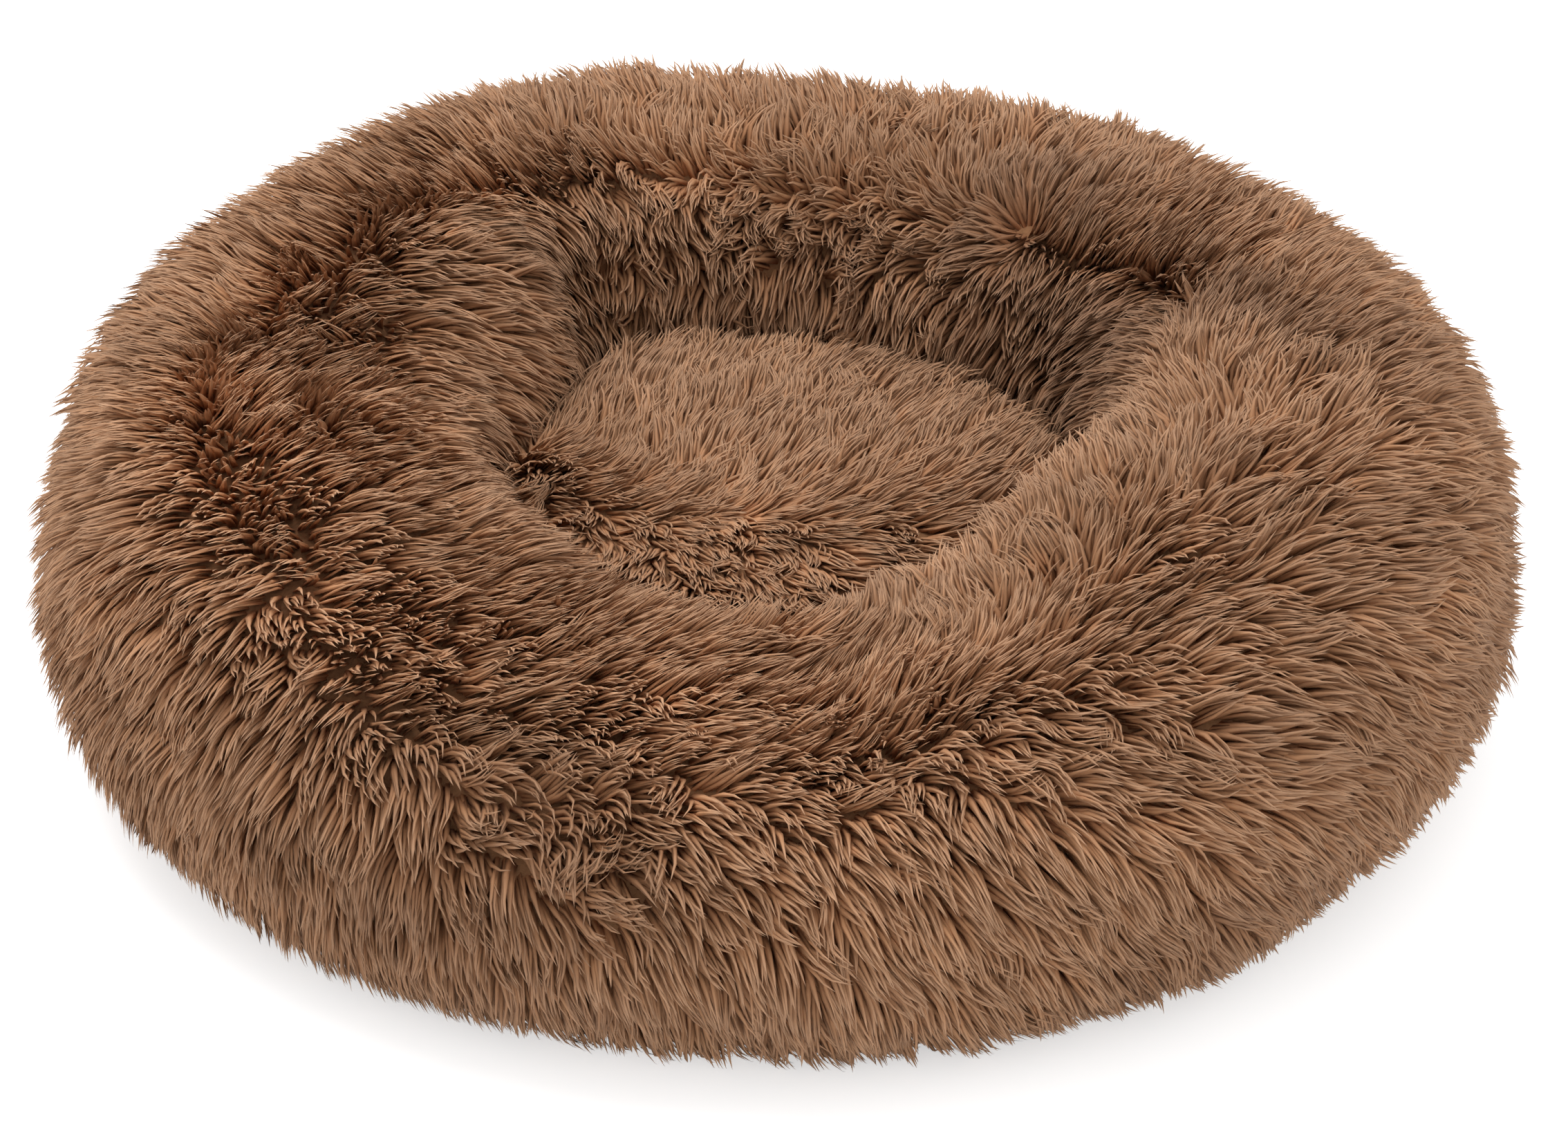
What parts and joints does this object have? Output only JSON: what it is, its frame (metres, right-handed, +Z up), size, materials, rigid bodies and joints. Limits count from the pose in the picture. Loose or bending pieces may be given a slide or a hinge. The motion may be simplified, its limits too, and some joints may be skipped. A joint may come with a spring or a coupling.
{
  "type": "donut pet bed",
  "caption": "Round plush pet bed: a fat long-pile bolster ring round a sunken, plump seat, on a cloth base with a curved zip under the back edge.",
  "frame": {"origin": "on the floor under the middle of the bed, at the middle of the base", "axes": "+Z up, +Y towards the back of the bed, where the zip is; -Y towards the low front of the ring; +X to the right seen from the front"},
  "size_m": [0.586, 0.5935, 0.1721],
  "materials": {
    "plush": "taupe-brown long-pile faux fur, locks about 3 to 4 mm wide, combed outwards",
    "base_fabric": "dark brown plain-weave polyester with small raised grip dots",
    "lining_fabric": "undyed non-woven lining cloth",
    "fibre": "loose white polyester fibre",
    "tape_fabric": "dark brown woven tape",
    "zip_plastic": "dark brown moulded plastic",
    "zip_metal": "brown lacquered die-cast metal"
  },
  "bodies": {
    "cover": {"ring_cover": "plush", "seat_cover": "plush", "base_cloth": "base_fabric", "edge_binding": "tape_fabric", "seat_seam_tape": "tape_fabric", "ring_lining_top": "lining_fabric", "ring_lining_bottom": "lining_fabric", "ring_filling": "fibre", "seat_lining_top": "lining_fabric", "seat_lining_bottom": "lining_fabric", "seat_filling": "fibre", "zip_tape_inner": "tape_fabric", "zip_tape_outer": "tape_fabric", "zip_teeth_inner": "zip_plastic", "zip_teeth_outer": "zip_plastic", "zip_top_stop_inner": "zip_metal", "zip_top_stop_outer": "zip_metal", "zip_bottom_stop": "zip_metal"},
    "zip_slider": {"zip_slider": "zip_metal"},
    "zip_pull": {"zip_pull": "zip_metal"}
  },
  "joints": [
    {"name": "zip_slide", "type": "hinge", "parent": "cover", "child": "zip_slider", "pos_m": [0, 0, 0.0085], "axis": [0, 0, -1], "range_deg": [0, 69], "deforming": ["zip_teeth_inner", "zip_teeth_outer"]},
    {"name": "pull_hinge", "type": "hinge", "parent": "zip_slider", "child": "zip_pull", "pos_m": [-0.14093, 0.20403, 0.00485], "axis": [-0.5684, 0.8228, 0], "range_deg": [0, 180]}
  ]
}
